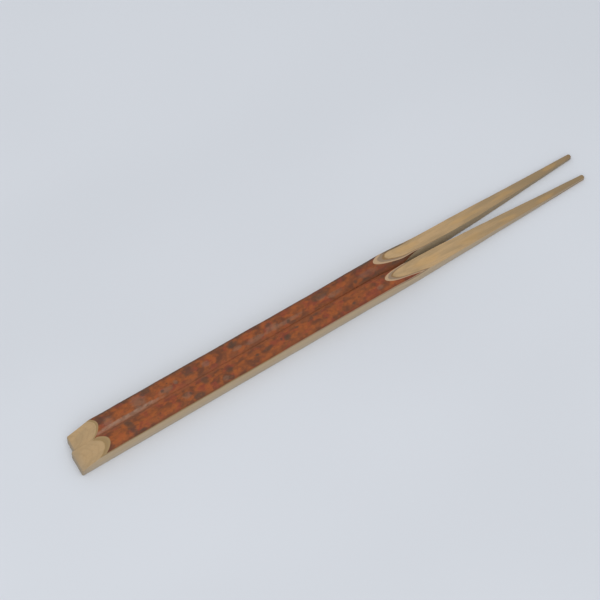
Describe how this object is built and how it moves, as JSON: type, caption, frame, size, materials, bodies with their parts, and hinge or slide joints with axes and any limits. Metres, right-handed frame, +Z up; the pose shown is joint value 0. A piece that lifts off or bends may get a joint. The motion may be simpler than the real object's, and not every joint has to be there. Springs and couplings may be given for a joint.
{
  "type": "chopsticks",
  "caption": "Pair of hand-cut wooden chopsticks with the branch bark left on the handles.",
  "frame": {"origin": "centre of the pair's bounding box at the flat undersides", "axes": "+X along the sticks towards the tips, +Y towards the left stick, +Z up from the surface they lie on"},
  "size_m": [0.2424, 0.016, 0.0077],
  "materials": {
    "wood": "matte",
    "bark": "matte"
  },
  "bodies": {
    "root": {"left_chopstick": "wood", "left_bark": "bark", "right_chopstick": "wood", "right_bark": "bark"}
  },
  "joints": []
}
